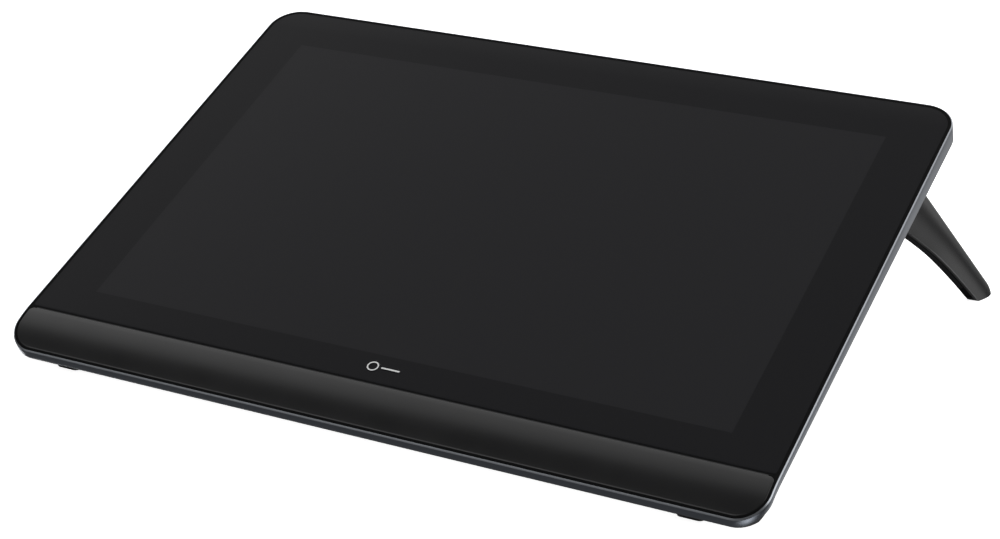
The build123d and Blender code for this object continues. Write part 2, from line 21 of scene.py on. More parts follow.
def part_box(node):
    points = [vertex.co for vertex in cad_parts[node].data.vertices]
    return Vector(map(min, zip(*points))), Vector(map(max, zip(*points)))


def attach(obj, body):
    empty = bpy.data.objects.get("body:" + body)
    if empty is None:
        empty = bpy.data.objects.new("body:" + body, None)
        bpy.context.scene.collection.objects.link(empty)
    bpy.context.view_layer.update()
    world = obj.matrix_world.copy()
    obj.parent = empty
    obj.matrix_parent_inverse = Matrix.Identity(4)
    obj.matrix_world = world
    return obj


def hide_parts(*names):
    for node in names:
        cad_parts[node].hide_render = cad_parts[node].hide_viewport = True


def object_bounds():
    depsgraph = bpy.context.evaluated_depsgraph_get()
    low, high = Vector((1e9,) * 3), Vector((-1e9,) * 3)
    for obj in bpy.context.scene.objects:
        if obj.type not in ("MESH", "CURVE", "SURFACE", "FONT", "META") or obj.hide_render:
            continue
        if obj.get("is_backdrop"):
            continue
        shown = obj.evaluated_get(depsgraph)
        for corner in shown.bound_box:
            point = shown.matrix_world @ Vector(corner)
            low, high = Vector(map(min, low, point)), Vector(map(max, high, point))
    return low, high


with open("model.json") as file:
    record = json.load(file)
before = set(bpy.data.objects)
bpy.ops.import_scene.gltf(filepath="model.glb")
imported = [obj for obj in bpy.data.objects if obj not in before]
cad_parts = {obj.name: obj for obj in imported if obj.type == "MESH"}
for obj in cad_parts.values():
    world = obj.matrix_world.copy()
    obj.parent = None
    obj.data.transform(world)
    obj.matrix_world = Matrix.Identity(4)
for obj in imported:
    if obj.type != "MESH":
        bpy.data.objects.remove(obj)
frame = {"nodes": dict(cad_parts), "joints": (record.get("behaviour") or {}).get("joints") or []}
CAD_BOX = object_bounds()
LEG_TRAVEL = {j["name"]: abs(j["range_deg"][0]) for j in frame["joints"] if "range_deg" in j}
LOG = logging.getLogger("pen_display")
MM = 0.001

Pair = tuple[float, float]
Point = tuple[float, float, float]
Outline = list[Pair]
Ring = list[Point]

LEAST_RADIUS = 0.05 * MM      # smallest radius that an inset may leave
WELD = 1e-7                   # points closer than this become one, in metres
CUT_REACH = 1e-8              # points this close to a cut lie on it, in metres
EDGE_STEPS = 4                # steps round a plate's top edge
NOISE_RANGE = (0.3, 0.7)      # where nearly all of Blender's noise lies
ROUND_MIDDLE = 0.3            # how far a round edge's middle stands in, as a share of its radius


class Side(Enum):
    """Which side of the tablet a leg is on; the value is the sign of X."""

    RIGHT = 1
    LEFT = -1


# --- colour and node helpers ------------------------------------------------------------
def linear(hex_colour: str) -> tuple[float, float, float, float]:
    """Turn an sRGB hex colour into linear values.

    Args:
        hex_colour: Six hex digits after a hash, such as "#24262a".

    Returns:
        Red, green, blue and an alpha of one.
    """
    channels = [int(hex_colour[i : i + 2], 16) / 255 for i in (1, 3, 5)]
    values = [c / 12.92 if c <= 0.04045 else ((c + 0.055) / 1.055) ** 2.4 for c in channels]
    return (values[0], values[1], values[2], 1.0)


def add_node(tree: NodeTree, kind: str, settings: dict | None = None, links: dict | None = None) -> Node:
    """Add one shader node, set its properties and inputs, and link its inputs.

    Args:
        tree: Node tree of the material.
        kind: Blender's node type name.
        settings: Property names, or input names or numbers, with their values.
        links: Input names or numbers with the output sockets that feed them.

    Returns:
        The new node.
    """
    node = tree.nodes.new(kind)
    for name, value in (settings or {}).items():
        if isinstance(name, str) and hasattr(node, name):
            setattr(node, name, value)
        else:
            node.inputs[name].default_value = value
    for name, socket in (links or {}).items():
        tree.links.new(socket, node.inputs[name])
    return node


@dataclass(frozen=True)
class Finish:
    """A real material and the way its surface was made."""

    name: str
    colour: str
    roughness: float = 0.5
    metallic: float = 0.0
    ior: float = 1.5
    specular: float = 0.5
    mottle: float = 0.0
    mottle_size: float = 20 * MM
    grain_size: float = 0.6 * MM
    grain_depth: float = 0.0
    roughness_spread: float = 0.0

    def material(self) -> Material:
        """Build the material, or return it if it was built before.

        Returns:
            The Blender material.
        """
        found = bpy.data.materials.get(self.name)
        if found:
            return found
        made = bpy.data.materials.new(self.name)
        made.use_nodes = True
        tree = made.node_tree
        shader = tree.nodes["Principled BSDF"]
        shader.inputs["Base Color"].default_value = linear(self.colour)
        shader.inputs["Metallic"].default_value = self.metallic
        shader.inputs["Roughness"].default_value = self.roughness
        if not self.metallic:
            shader.inputs["IOR"].default_value = self.ior
            shader.inputs["Specular IOR Level"].default_value = self.specular
        self.detail(tree, shader)
        return made

    def detail(self, tree: NodeTree, shader: Node) -> None:
        """Add the surface's mottle and grain.

        Args:
            tree: The material's nodes.
            shader: Its main shader.
        """
        place = add_node(tree, "ShaderNodeTexCoord").outputs["Object"]
        if self.mottle:
            self.add_mottle(tree, shader, place)
        if self.grain_depth:
            self.add_grain(tree, shader, place)

    def spread(self, tree: NodeTree, noise: Node, middle: float,
               half: float) -> NodeSocket:
        """Turn noise into a value that wanders about a middle.

        Args:
            tree: The material's nodes.
            noise: The noise node.
            middle: Middle value.
            half: How far the value wanders each way.

        Returns:
            The value.
        """
        low, high = NOISE_RANGE
        limits = {"From Min": low, "From Max": high, "To Min": middle - half, "To Max": middle + half}
        return add_node(tree, "ShaderNodeMapRange", limits, {"Value": noise.outputs["Fac"]}).outputs[0]

    def add_mottle(self, tree: NodeTree, shader: Node,
                   place: NodeSocket) -> None:
        """Vary colour and roughness slowly, as handling and moulding flow do.

        Args:
            tree: The material's nodes.
            shader: Its main shader.
            place: Place on the object.
        """
        settings = {"Scale": 1 / self.mottle_size, "Detail": 3.0, "Roughness": 0.55}
        noise = add_node(tree, "ShaderNodeTexNoise", settings, {"Vector": place})
        factor = self.spread(tree, noise, 1.0, self.mottle)
        base = {"operation": "SCALE", 0: shader.inputs["Base Color"].default_value[:3]}
        scaled = add_node(tree, "ShaderNodeVectorMath", base, {3: factor})
        tree.links.new(scaled.outputs[0], shader.inputs["Base Color"])
        if self.roughness_spread:
            rough = self.spread(tree, noise, self.roughness, self.roughness_spread)
            tree.links.new(rough, shader.inputs["Roughness"])

    def add_grain(self, tree: NodeTree, shader: Node,
                  place: NodeSocket) -> None:
        """Raise the fine grain that blasting or a textured mould leaves.

        Args:
            tree: The material's nodes.
            shader: Its main shader.
            place: Place on the object.
        """
        settings = {"Scale": 1 / self.grain_size, "Detail": 2.0, "Roughness": 0.6}
        noise = add_node(tree, "ShaderNodeTexNoise", settings, {"Vector": place})
        depth = {"Strength": 0.6, "Distance": self.grain_depth}
        bump = add_node(tree, "ShaderNodeBump", depth, {"Height": noise.outputs["Fac"]})
        tree.links.new(bump.outputs["Normal"], shader.inputs["Normal"])


# --- the finishes -----------------------------------------------------------------------
# Blasting and mould grain is really 0.05 to 0.1 mm across. It is drawn at 0.3 to 0.8 mm,
# the finest that a picture of the whole tablet can hold.
#
# Aluminium, bead blasted and anodised dark grey: an even satin metal with a cool cast.
ANODISED = Finish("anodised_blasted_aluminium", "#696d74", 0.42, 1.0, mottle=0.03, mottle_size=40 * MM,
                  grain_size=0.5 * MM, grain_depth=0.006 * MM, roughness_spread=0.03)
# The same aluminium where a diamond tool cut the bevel after anodising: brighter, smoother.
CUT_BEVEL = Finish("diamond_cut_aluminium", "#b4b8be", 0.3, 1.0, mottle=0.02, mottle_size=60 * MM,
                   grain_size=0.4 * MM, grain_depth=0.002 * MM)
# Polycarbonate and ABS blend, moulded and coated satin: dark, soft, broad highlights.
PALM_COAT = Finish("satin_coated_abs", "#0f0f10", 0.32, specular=0.58, mottle=0.04, mottle_size=30 * MM,
                   grain_size=0.5 * MM, grain_depth=0.004 * MM, roughness_spread=0.03)
# The same plastic left uncoated, low in the seam: a shade duller. Its greyer colour is painted light,
# lifted above the palm rest's so the recessed lip reads as lit grey in the seam's shade.
SEAM_ABS_PAINTED_LIGHT = Finish("moulded_abs", "#232324", 0.5, mottle=0.04, mottle_size=10 * MM)
# ABS moulded in a spark-eroded tool: fine even texture, no gloss.
TEXTURED_ABS = Finish("spark_textured_abs", "#1f2022", 0.62, mottle=0.05, mottle_size=35 * MM,
                      grain_size=0.8 * MM, grain_depth=0.03 * MM, roughness_spread=0.04)
# Leg skins, moulded nylon with satin paint: deep black, glossier than the cover.
LEG_PAINT = Finish("satin_painted_nylon", "#0c0c0d", 0.26, specular=0.65, mottle=0.03,
                   mottle_size=25 * MM, grain_size=0.5 * MM, grain_depth=0.004 * MM)
# Glass-filled nylon, moulded: the leg's inner half, duller and darker than its skin. Its near-black tone,
# darker than the side strip of the same nylon, is partly painted shade for the leg's shaded side face.
LEG_NYLON_PAINTED_SHADE = Finish("glass_filled_nylon", "#060607", 0.7, specular=0.04, mottle=0.1, mottle_size=4 * MM,
                   grain_size=0.5 * MM, grain_depth=0.02 * MM)
# The same nylon in the strip along the leg's side, polished by the tool: a soft sheen.
LEG_STRIP = Finish("polished_nylon", "#0b0b0c", 0.5, specular=0.1, mottle=0.05, mottle_size=6 * MM)
# Silicone rubber, moulded: deep black and matt.
RUBBER = Finish("moulded_silicone_rubber", "#0c0c0d", 0.85, specular=0.2, mottle=0.08, mottle_size=5 * MM,
                grain_size=0.5 * MM, grain_depth=0.02 * MM)
# Foam gasket, die cut: takes nearly all light, so the gap reads as a black line.
GASKET = Finish("die_cut_foam", "#070708", 0.9, specular=0.2, mottle=0.1, mottle_size=3 * MM)
# Screen-printed ink behind the glass.
INK = Finish("screen_printed_ink", "#0e0e0f", 0.7, mottle=0.03, mottle_size=20 * MM)
# White screen-printed ink on the glass.
PALE_INK = Finish("white_screen_ink", "#dcdddd", 0.55, mottle=0.02, mottle_size=4 * MM)
# Steel strip, pressed and zinc plated: bright with a soft brushed sheen.
STEEL = Finish("zinc_plated_steel", "#9a9da1", 0.36, 1.0, mottle=0.06, mottle_size=6 * MM,
               grain_size=0.3 * MM, grain_depth=0.004 * MM)
# Steel screws, black oxide: dark metal with worn-looking variation.
BLACK_OXIDE = Finish("black_oxide_steel", "#2a2a2c", 0.45, 1.0, mottle=0.1, mottle_size=1 * MM)
# Brass, turned: warm metal.
BRASS = Finish("turned_brass", "#c8a45a", 0.3, 1.0, mottle=0.04, mottle_size=2 * MM)
# Glass fibre board under green solder mask: glossy with a faint weave.
SOLDER_MASK = Finish("solder_masked_board", "#0f3a24", 0.35, mottle=0.12, mottle_size=3 * MM)
# Epoxy resin packages, moulded: dull near black.
CHIP_RESIN = Finish("moulded_epoxy", "#18181a", 0.7, mottle=0.06, mottle_size=2 * MM)
# Polyimide film over copper: amber and slightly glossy.
FLAT_CABLE = Finish("polyimide_film", "#8a5a1c", 0.4, mottle=0.08, mottle_size=2 * MM)
# Liquid crystal cell: dark polished glass.
LCD_GLASS = Finish("liquid_crystal_cell", "#101114", 0.15, mottle=0.02, mottle_size=50 * MM)
# Acrylic sheet with printed dots: pale and smooth.
ACRYLIC = Finish("dot_printed_acrylic", "#dfe4e8", 0.2, mottle=0.02, mottle_size=4 * MM)
# Opal acrylic sheet, the light table's top: white, matt, lit through.
OPAL_SHEET = Finish("opal_acrylic_sheet", "#f4f4f4", 0.9, specular=0.1, mottle=0.005,
                    mottle_size=300 * MM)


# --- the tablet's plane -----------------------------------------------------------------
@dataclass(frozen=True)
class TabletPlane:
    """Where the tablet's own plane lies in the frame, and its outline and side profiles."""

    half_width: float = 202.0 * MM
    front_y: float = -151.7 * MM
    rear_y: float = 138.3 * MM
    front_corner: float = 15.0 * MM
    rear_corner: float = 17.0 * MM
    seam_y: float = -126.4 * MM
    top_drop: float = 5.2 * MM
    wall_height: float = 7.4 * MM
    wedge: float = 0.0247
    wall_drop: float = 6.2 * MM
    glass_front_y: float = -125.5 * MM
    glass_rear_y: float = 136.0 * MM

    def tilt(self) -> float:
        """Return the tablet's tilt in radians, from the axis of a leg's hinge."""
        axis = next(j["axis"] for j in frame["joints"] if j["name"] == "right_leg_fold")
        return math.atan2(-axis[2], -axis[1])

    def placement(self) -> Matrix:
        """Return the matrix from the tablet's plane to the frame."""
        tilt = self.tilt()
        low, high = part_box("cover_glass")
        centre_x = (low.x + high.x) / 2
        centre_y = low.y - self.glass_front_y * math.cos(tilt)
        centre_z = high.z - self.glass_rear_y * math.sin(tilt)
        return Matrix.Translation((centre_x, centre_y, centre_z)) @ Matrix.Rotation(tilt, 4, "X")

    def drop(self, y: float) -> float:
        """Find how much of the front drop a place has.

        Args:
            y: The place.

        Returns:
            Zero behind the seam, rising to one at the front edge.
        """
        share = (self.seam_y - y) / (self.seam_y - self.front_y)
        return max(share, 0.0) ** 2

    def top(self, y: float) -> float:
        """Find the height of the top face.

        Args:
            y: The place.

        Returns:
            The height.
        """
        return -self.top_drop * self.drop(y)

    def wall_bottom(self, y: float) -> float:
        """Find the height of the frame wall's lower edge.

        Args:
            y: The place.

        Returns:
            The height.
        """
        return -self.wall_height - self.wedge * y - self.wall_drop * self.drop(y)

    def outline(self, inset: float) -> Outline:
        """Walk once round the tablet's outline.

        Args:
            inset: How far inside the outside edge.

        Returns:
            Points anticlockwise from above, the same number for any inset.
        """
        half = self.half_width - inset
        front = self.front_y + inset
        rear = self.rear_y - inset
        return rounded_outline(half, front, rear, self.front_corner - inset, self.rear_corner - inset,
                               self.seam_y)


def rounded_outline(half: float, front: float, rear: float, front_r: float, rear_r: float,
                    seam: float | None = None, corner_steps: int = 16, side_steps: int = 24,
                    ) -> Outline:
    """Outline of a rectangle with its own corner radius at the front and the rear.

    Args:
        half: Half the width.
        front: Y of the front edge.
        rear: Y of the rear edge.
        front_r: Radius of the front corners.
        rear_r: Radius of the rear corners.
        seam: Y from which the sides have extra points down to the front corner.
        corner_steps: Steps in each corner.
        side_steps: Extra steps on each side in front of the seam.

    Returns:
        Points anticlockwise from above, starting on the right side.
    """
    front_r = max(front_r, LEAST_RADIUS)
    rear_r = max(rear_r, LEAST_RADIUS)
    right: Outline = []
    if seam is not None:
        start = front + front_r
        right += [(half, start + (seam - start) * i / side_steps) for i in range(1, side_steps + 1)]
    right += [
        (half - rear_r + rear_r * math.cos(a), rear - rear_r + rear_r * math.sin(a))
        for a in (math.pi / 2 * i / corner_steps for i in range(corner_steps + 1))
    ]
    left_side = [(-x, y) for x, y in reversed(right)]
    left_front = [
        (-half + front_r - front_r * math.cos(a), front + front_r - front_r * math.sin(a))
        for a in (math.pi / 2 * i / corner_steps for i in range(corner_steps + 1))
    ]
    right_front = [(-x, y) for x, y in reversed(left_front)]
    return right + left_side + left_front + right_front


# --- mesh helpers -----------------------------------------------------------------------
def new_object(name: str, vertices: Sequence[Point], faces: Sequence[Sequence[int]],
               smooth_degrees: float = 35.0) -> Object:
    """Make a mesh object with smooth shading across shallow angles.

    Args:
        name: Name of the object and of its mesh.
        vertices: Points.
        faces: Vertex numbers of each face.
        smooth_degrees: Edges sharper than this stay crisp.

    Returns:
        The new object, in the scene.
    """
    mesh = bpy.data.meshes.new(name)
    mesh.from_pydata([tuple(v) for v in vertices], [], [tuple(f) for f in faces])
    work = bmesh.new()
    work.from_mesh(mesh)
    bmesh.ops.remove_doubles(work, verts=work.verts, dist=WELD)
    bmesh.ops.recalc_face_normals(work, faces=work.faces)
    limit = math.radians(smooth_degrees)
    for edge in work.edges:
        edge.smooth = len(edge.link_faces) != 2 or edge.calc_face_angle(0.0) < limit
    for face in work.faces:
        face.smooth = True
    work.to_mesh(mesh)
    work.free()
    made = bpy.data.objects.new(name, mesh)
    bpy.context.scene.collection.objects.link(made)
    return made


def bridge(rings: Sequence[Ring], closed: bool) -> tuple[list[Point], list[tuple[int, ...]]]:
    """Join rings of the same number of points with quads.

    Args:
        rings: Rings of points.
        closed: Whether the last ring joins the first.

    Returns:
        Vertices and faces.
    """
    count = len(rings[0])
    vertices = [point for ring in rings for point in ring]
    faces = []
    last = len(rings) if closed else len(rings) - 1
    for r in range(last):
        a = r * count
        b = (r + 1) % len(rings) * count
        faces += [(a + i, a + (i + 1) % count, b + (i + 1) % count, b + i) for i in range(count)]
    return vertices, faces


def dress(node: str, finish: Finish) -> None:
    """Give a CAD node its finish.

    Args:
        node: Name of the node.
        finish: The finish.
    """
    mesh = frame["nodes"][node].data
    mesh.materials.clear()
    mesh.materials.append(finish.material())
    LOG.info("dressed %s with %s", node, finish.name)


def place_piece(piece: Object, finish: Finish, body: str, matrix: Matrix,
                replaced: Iterable[str] = ()) -> Object:
    """Set a piece in place, give it a finish and tie it to its body.

    Args:
        piece: The object, in the tablet's plane.
        finish: Its finish.
        body: CAD body that it moves with.
        matrix: Plane to frame.
        replaced: CAD nodes that it stands for.

    Returns:
        The same object.
    """
    piece.matrix_world = matrix
    if not piece.data.materials:
        piece.data.materials.append(finish.material())
    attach(piece, body)
    names = list(replaced)
    if names:
        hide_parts(*names)
    LOG.info("placed %s on %s", piece.name, body)
    return piece


def ladder(rows_right: int, rows_front: int, start: int, flip: bool) -> list[tuple[int, ...]]:
    """Quads that fill an outline which is the same on both sides, row by row.

    Args:
        rows_right: Points on the right side and rear corner.
        rows_front: Points on one front corner.
        start: Number of the outline's first vertex.
        flip: Whether the faces look down.

    Returns:
        Faces.
    """
    middle = start + 2 * rows_right
    front = [(middle + 2 * rows_front - 1 - j, middle + j) for j in range(rows_front - 1, -1, -1)]
    rows = front + [(start + i, start + 2 * rows_right - 1 - i) for i in range(rows_right)]
    faces = [(a[0], b[0], b[1], a[1]) for a, b in zip(rows, rows[1:])]
    return [tuple(reversed(f)) for f in faces] if flip else faces


def capped_plate(name: str, outline: Callable[[float], Outline], counts: tuple[int, int],
                 top: Callable[[float], float], thick: float, edge: float) -> Object:
    """Plate that follows a side profile, with a rounded top edge.

    Args:
        name: Name of the object.
        outline: Gives the outline for an inset.
        counts: Points on the right side with the rear corner, and on one front corner.
        top: Gives the height of the top face at a Y place.
        thick: Thickness.
        edge: Radius of the top edge.

    Returns:
        The plate.
    """
    steps = [(math.pi / 2) * i / EDGE_STEPS for i in range(EDGE_STEPS + 1)]
    levels = [(0.0, thick)] + [(edge * (1 - math.cos(a)), edge * (1 - math.sin(a))) for a in steps]
    rings = [[(x, y, top(y) - down) for x, y in outline(inset)] for inset, down in levels]
    vertices, faces = bridge(rings, closed=False)
    faces += ladder(*counts, start=0, flip=True)
    faces += ladder(*counts, start=len(rings[0]) * (len(rings) - 1), flip=False)
    return new_object(name, vertices, faces, smooth_degrees=40.0)


def bar_along_x(name: str, section: Sequence[Pair], ends: Pair) -> Object:
    """Bar with one section from end to end.

    Args:
        name: Name of the object.
        section: Y and Z of each corner, once round.
        ends: X of its two ends.

    Returns:
        The bar.
    """
    rings = [[(x, y, z) for y, z in section] for x in ends]
    vertices, faces = bridge(rings, closed=False)
    count = len(section)
    faces += [tuple(range(count)), tuple(range(count, 2 * count))]
    return new_object(name, vertices, faces)


def slot_prism(name: str, y: float, z: float, size: Pair, x: Pair,
               steps: int = 12) -> Object:
    """Prism with round ends that lies along X, to cut an opening in a side wall.

    Args:
        name: Name of the object.
        y: Centre along the wall.
        z: Centre height.
        size: Length and height of the opening.
        x: Where the prism starts and ends.
        steps: Steps in each half-round end.

    Returns:
        The prism.
    """
    radius = size[1] / 2
    reach = size[0] / 2 - radius
    angles = [-math.pi / 2 + math.pi * i / steps for i in range(steps + 1)]
    loop = [(y + reach + radius * math.cos(a), z + radius * math.sin(a)) for a in angles]
    loop += [(y - reach - radius * math.cos(a), z - radius * math.sin(a)) for a in angles]
    return bar_along_x(name, loop, x)


def cut_away(target: Object, cutters: Sequence[Object]) -> None:
    """Cut the cutters out of the target and remove them.

    Args:
        target: Object that is cut.
        cutters: Closed objects.
    """
    for cutter in cutters:
        change = target.modifiers.new("cut", "BOOLEAN")
        change.operation = "DIFFERENCE"
        change.solver = "EXACT"
        change.object = cutter
        bpy.context.view_layer.objects.active = target
        with bpy.context.temp_override(object=target, active_object=target):
            bpy.ops.object.modifier_apply(modifier=change.name)
        bpy.data.objects.remove(cutter)


# --- finishes with their own pattern ----------------------------------------------------
@dataclass(frozen=True)
class EtchedGlass(Finish):
    """Etched anti-glare glass, bonded to the display: the picture area shows a shade lighter."""

    picture_colour: str = "#232325"
    picture: Pair = (344.68 * MM, 215.42 * MM)

    def detail(self, tree: NodeTree, shader: Node) -> None:
        """Show the unlit picture area and the etch.

        Args:
            tree: The material's nodes.
            shader: Its main shader.
        """
        place = add_node(tree, "ShaderNodeTexCoord").outputs["Object"]
        parts = add_node(tree, "ShaderNodeSeparateXYZ", links={0: place})
        inside = []
        for axis, size in zip(("X", "Y"), self.picture):
            away = add_node(tree, "ShaderNodeMath", {"operation": "ABSOLUTE"}, {0: parts.outputs[axis]})
            test = {"operation": "LESS_THAN", 1: size / 2}
            inside.append(add_node(tree, "ShaderNodeMath", test, {0: away.outputs[0]}).outputs[0])
        both = add_node(tree, "ShaderNodeMath", {"operation": "MULTIPLY"}, {0: inside[0], 1: inside[1]})
        colours = {"data_type": "RGBA", 6: linear(self.colour), 7: linear(self.picture_colour)}
        mix = add_node(tree, "ShaderNodeMix", colours, {0: both.outputs[0]})
        tree.links.new(mix.outputs[2], shader.inputs["Base Color"])
        self.add_grain(tree, shader, place)


# Alkali glass, acid etched against glare and laminated: dark, even, with a soft weak reflection.
ETCHED_GLASS = EtchedGlass("etched_laminated_glass", "#1a1a1c", 0.4, specular=0.05,
                           grain_size=0.35 * MM, grain_depth=0.0015 * MM)


# --- sub-assemblies ---------------------------------------------------------------------
@dataclass
class MetalFrame:
    """Aluminium wedge frame with the cut bevel, and the keys and sockets in its left wall."""

    plane: TabletPlane
    opening: float = 0.7 * MM
    opening_break: Pair = (0.06 * MM, 0.08 * MM)
    land: float = 0.1 * MM
    bevel: float = 0.5 * MM
    bevel_foot: Pair = (0.04 * MM, 0.1 * MM)
    low_round: float = 0.4 * MM
    wall: float = 1.6 * MM
    ledge_in: float = 12.0 * MM
    ledge_top: float = 1.6 * MM
    ledge_bottom: float = 2.6 * MM
    bar_y: Pair = (-118.5 * MM, -129.0 * MM)
    bar_chamfer: float = 0.2 * MM
    rim_in: float = 0.25 * MM
    rim_lap: float = 0.2 * MM
    rim_drop: float = 0.45 * MM
    rim_chamfer: float = 0.15 * MM
    key_height: float = -5.4 * MM
    key_gap: float = 0.35 * MM
    keys: tuple[Pair, ...] = ((104.0 * MM, 14.0 * MM), (88.0 * MM, 8.0 * MM), (75.0 * MM, 8.0 * MM))
    key_tall: float = 2.6 * MM
    sockets: Pair = (58.0 * MM, 40.0 * MM)
    socket: Pair = (9.0 * MM, 3.2 * MM)

    def section(self) -> list[tuple[float, Callable[[float], float]]]:
        """Return the wall's cross section as insets with their heights, once round."""
        top = self.plane.top
        low = self.plane.wall_bottom
        break_in, break_drop = self.opening_break
        foot_in, foot_drop = self.bevel_foot
        round_middle = self.low_round * ROUND_MIDDLE
        return [
            (self.ledge_in, lambda y: top(y) - self.ledge_top),
            (self.opening, lambda y: top(y) - self.ledge_top),
            (self.opening, lambda y: top(y) - break_drop),
            (self.opening - break_in, top),
            (self.opening - break_in - self.land, top),
            (foot_in, lambda y: top(y) - self.bevel),
            (0.0, lambda y: top(y) - self.bevel - foot_drop),
            (0.0, lambda y: low(y) + self.low_round),
            (round_middle, lambda y: low(y) + round_middle),
            (self.low_round, low),
            (self.wall, low),
            (self.wall, lambda y: top(y) - self.ledge_bottom),
            (self.ledge_in, lambda y: top(y) - self.ledge_bottom),
        ]

    def carry_round(self, section: Sequence[tuple[float, Callable[[float], float]]]) -> list[Ring]:
        """Carry a section round the tablet's outline.

        Args:
            section: Insets with their heights.

        Returns:
            One ring for each of its corners.
        """
        outline = self.plane.outline
        return [[(x, y, height(y)) for x, y in outline(inset)] for inset, height in section]

    def build(self) -> Object:
        """Build the frame ring with its openings.

        Returns:
            The ring.
        """
        vertices, faces = bridge(self.carry_round(self.section()), closed=True)
        ring = new_object("frame_ring_machined", vertices, faces, smooth_degrees=28.0)
        ring.data.materials.append(ANODISED.material())
        ring.data.materials.append(CUT_BEVEL.material())
        self.mark_bevel(ring)
        cutters = []
        clear = 1 * MM
        through = (-self.plane.half_width - clear, -self.plane.half_width + self.wall + clear)
        for y, length in self.keys:
            size = (length + 2 * self.key_gap, self.key_tall + 2 * self.key_gap)
            cutters.append(slot_prism("key_cut", y, self.key_height, size, through))
        for y in self.sockets:
            cutters.append(slot_prism("socket_cut", y, self.key_height, self.socket, through))
        cut_away(ring, cutters)
        return ring

    def mark_bevel(self, ring: Object) -> None:
        """Give the cut bevel's faces the bright finish.

        Args:
            ring: The frame ring.
        """
        slack = 0.02 * MM
        for face in ring.data.polygons:
            points = [ring.data.vertices[i].co for i in face.vertices]
            depths = [self.plane.top(p.y) - p.z for p in points]
            if max(depths) <= self.bevel + slack and min(depths) < self.bevel / 2:
                face.material_index = 1

    def cross_bar(self) -> Object:
        """Build the bar of the frame that lies under the seam.

        Returns:
            The bar.
        """
        reach = self.plane.half_width - self.wall
        rear, front = self.bar_y
        low, high, chamfer = -self.ledge_bottom, -self.ledge_top, self.bar_chamfer
        section = [(front, low), (rear, low), (rear, high - chamfer), (rear - chamfer, high),
                   (front + chamfer, high), (front, high - chamfer)]
        return bar_along_x("frame_cross_bar", section, (-reach, reach))

    def cover_rim(self) -> Object:
        """Build the rear cover's edge, which shows as a dark line below the wall.

        Returns:
            The rim.
        """
        low = self.plane.wall_bottom
        section = [
            (self.rim_in, lambda y: low(y) + self.rim_lap),
            (self.rim_in, lambda y: low(y) - self.rim_drop + self.rim_chamfer),
            (self.rim_in + self.rim_chamfer, lambda y: low(y) - self.rim_drop),
            (self.wall + self.rim_lap, lambda y: low(y) - self.rim_drop),
            (self.wall + self.rim_lap, lambda y: low(y) + self.rim_lap),
        ]
        vertices, faces = bridge(self.carry_round(section), closed=True)
        return new_object("cover_rim", vertices, faces)

    def make(self, matrix: Matrix) -> None:
        """Build and place the frame, and dress what sits in its wall.

        Args:
            matrix: Plane to frame.
        """
        place_piece(self.build(), ANODISED, "tablet", matrix, ["frame_ring"])
        place_piece(self.cross_bar(), ANODISED, "tablet", matrix)
        place_piece(self.cover_rim(), TEXTURED_ABS, "tablet", matrix)
        for node in ("power_button", "brighter_key", "dimmer_key"):
            dress(node, ANODISED)
        dress("usb_sockets", STEEL)
        dress("key_switches", CHIP_RESIN)
        dress("socket_board", SOLDER_MASK)


